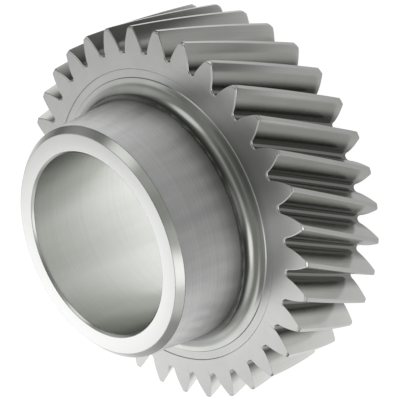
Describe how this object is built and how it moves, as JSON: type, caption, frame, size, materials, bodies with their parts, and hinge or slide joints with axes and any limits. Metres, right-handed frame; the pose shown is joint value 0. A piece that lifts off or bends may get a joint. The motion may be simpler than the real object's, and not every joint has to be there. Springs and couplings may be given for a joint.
{
  "type": "gear wheel",
  "caption": "Helical gear wheel with a wide toothed rim, a plain round bore and a long hub whose outside is a shallow friction cone.",
  "frame": {"origin": "on the bore's axis, in the plain back face of the toothed rim", "axes": "+Z along the bore's axis, towards the hub's outer end; +X through the centre line of one tooth at the rim's front face"},
  "size_m": [0.169, 0.169, 0.0839],
  "materials": {
    "gear_steel": "bare hardened steel: turned front and back faces, ground flanks, cone and bore, bright bevels"
  },
  "bodies": {
    "root": {"gear_wheel": "gear_steel"}
  },
  "joints": []
}
